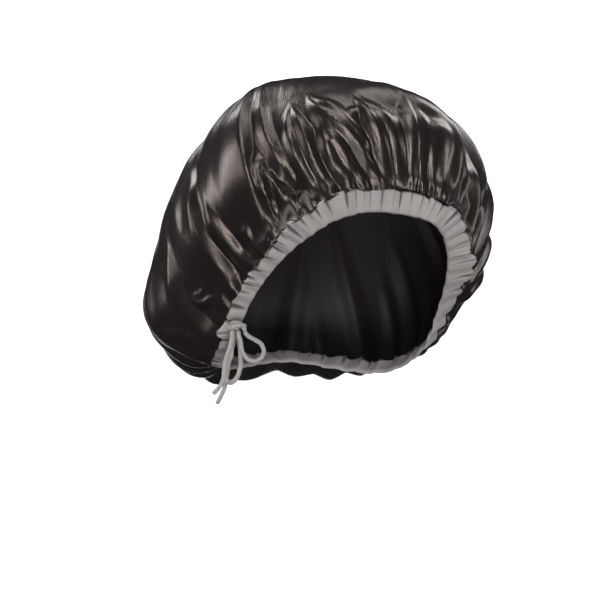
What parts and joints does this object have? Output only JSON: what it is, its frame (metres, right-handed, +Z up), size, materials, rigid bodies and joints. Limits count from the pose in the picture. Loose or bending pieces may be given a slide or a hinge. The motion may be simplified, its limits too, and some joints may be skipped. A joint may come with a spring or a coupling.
{
  "type": "sleep bonnet",
  "caption": "Loose satin sleep bonnet gathered into a ruffled drawstring band round the head opening, tied in a small bow at one side.",
  "frame": {"origin": "middle of the head opening, the point that the mount head_seat names", "axes": "+Z up as worn, the face side looks towards -Y, +X is the side without the bow"},
  "size_m": [0.2439, 0.247, 0.2328],
  "materials": {
    "satin": "glossy polyester satin, dark brown-black",
    "casing": "matt grey woven cotton, gathered",
    "cord": "matt grey sewn fabric cord"
  },
  "bodies": {
    "root": {"crown": "satin", "band": "casing", "tie_knot": "cord", "front_loop": "cord", "back_loop": "cord", "front_end": "cord", "back_end": "cord"}
  },
  "joints": []
}
